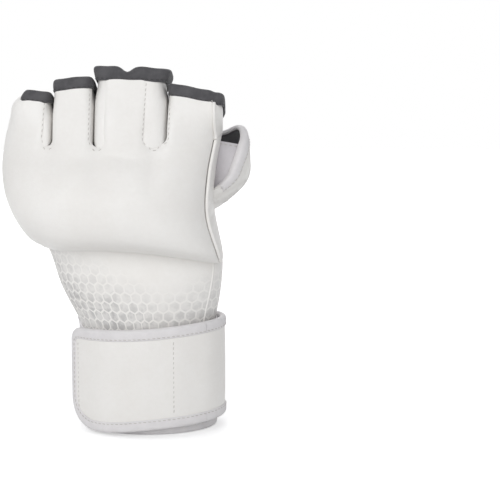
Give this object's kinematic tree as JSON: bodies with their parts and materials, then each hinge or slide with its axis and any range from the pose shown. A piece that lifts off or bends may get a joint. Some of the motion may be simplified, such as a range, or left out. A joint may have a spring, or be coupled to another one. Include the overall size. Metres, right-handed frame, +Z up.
{
  "type": "mma glove",
  "caption": "Open-palm padded grappling glove for the left hand, with a foam knuckle pad, fingerless stalls, a padded thumb and a hook-and-loop wrist strap.",
  "frame": {"origin": "middle of the wrist opening, on the plane that the cuff stands on", "axes": "+X to the thumb side, +Y out of the palm, +Z up towards the fingertips"},
  "size_m": [0.1497, 0.0941, 0.2214],
  "materials": {
    "white_leather": "smooth white synthetic leather with a fine grain",
    "pale_tape": "pale grey folded edge tape, stitched",
    "dark_tape": "dark grey folded edge tape, stitched",
    "black_lining": "black brushed lining",
    "foam": "hidden closed-cell foam",
    "fastener": "black hook-and-loop sheet",
    "patch": "grey sewn patch with plain slanted bars"
  },
  "bodies": {
    "glove": {"knuckle_cover": "white_leather", "knuckle_foam": "foam", "back_panel": "white_leather", "back_lining": "black_lining", "index_gusset": "white_leather", "side_piping": "white_leather", "palm_panel": "white_leather", "palm_opening_tape": "pale_tape", "ulnar_strip": "white_leather", "ulnar_tape": "pale_tape", "finger_palm_panel": "white_leather", "palm_hem_tape": "pale_tape", "thumb_heel_cover": "white_leather", "thumb_heel_foam": "foam", "cuff": "white_leather", "cuff_rim_tape": "pale_tape", "cuff_seam_tape": "pale_tape", "loop_panel": "fastener", "strap_base": "white_leather", "strap_base_tape": "pale_tape", "wrist_patch": "patch"},
    "little_finger": {"little_stall": "white_leather", "little_lining": "black_lining", "little_pad_cover": "white_leather", "little_foam": "foam", "little_tape": "dark_tape"},
    "ring_finger": {"ring_stall": "white_leather", "ring_lining": "black_lining", "ring_pad_cover": "white_leather", "ring_foam": "foam", "ring_tape": "dark_tape"},
    "middle_finger": {"middle_stall": "white_leather", "middle_lining": "black_lining", "middle_pad_cover": "white_leather", "middle_foam": "foam", "middle_tape": "dark_tape"},
    "index_finger": {"index_stall": "white_leather", "index_lining": "black_lining", "index_pad_cover": "white_leather", "index_foam": "foam", "index_tape": "dark_tape"},
    "thumb": {"thumb_panel": "white_leather", "thumb_lining": "black_lining", "thumb_back_panel": "white_leather", "thumb_pad_cover": "white_leather", "thumb_pad_foam": "foam", "thumb_tape": "pale_tape"},
    "wrap": {"strap_wrap": "white_leather", "strap_wrap_tape": "pale_tape"},
    "tab": {"strap_tab": "white_leather", "strap_tab_tape": "pale_tape", "hook_panel": "fastener"}
  },
  "joints": [
    {"name": "little_flex", "type": "hinge", "parent": "glove", "child": "little_finger", "pos_m": [0, 0.0123, 0.186], "axis": [-1, 0, 0], "range_deg": [0, 30], "stiffness_Nm_per_rad": 0.05},
    {"name": "ring_flex", "type": "hinge", "parent": "glove", "child": "ring_finger", "pos_m": [0, 0.0123, 0.186], "axis": [-1, 0, 0], "range_deg": [0, 30], "stiffness_Nm_per_rad": 0.05},
    {"name": "middle_flex", "type": "hinge", "parent": "glove", "child": "middle_finger", "pos_m": [0, 0.0123, 0.186], "axis": [-1, 0, 0], "range_deg": [0, 30], "stiffness_Nm_per_rad": 0.05},
    {"name": "index_flex", "type": "hinge", "parent": "glove", "child": "index_finger", "pos_m": [0, 0.0123, 0.186], "axis": [-1, 0, 0], "range_deg": [0, 30], "stiffness_Nm_per_rad": 0.05},
    {"name": "thumb_flex", "type": "hinge", "parent": "glove", "child": "thumb", "pos_m": [0.02, 0.0235, 0.137], "axis": [-1, 0, 0], "range_deg": [0, 25], "stiffness_Nm_per_rad": 0.1},
    {"name": "strap_open", "type": "hinge", "parent": "glove", "child": "wrap", "pos_m": [0.04604, -0.00936, 0.036], "axis": [0, 0, 1], "range_deg": [0, 100]},
    {"name": "strap_end_bend", "type": "hinge", "parent": "wrap", "child": "tab", "pos_m": [0.01485, -0.03476, 0.036], "axis": [0, 0, 1], "range_deg": [0, 60]}
  ]
}
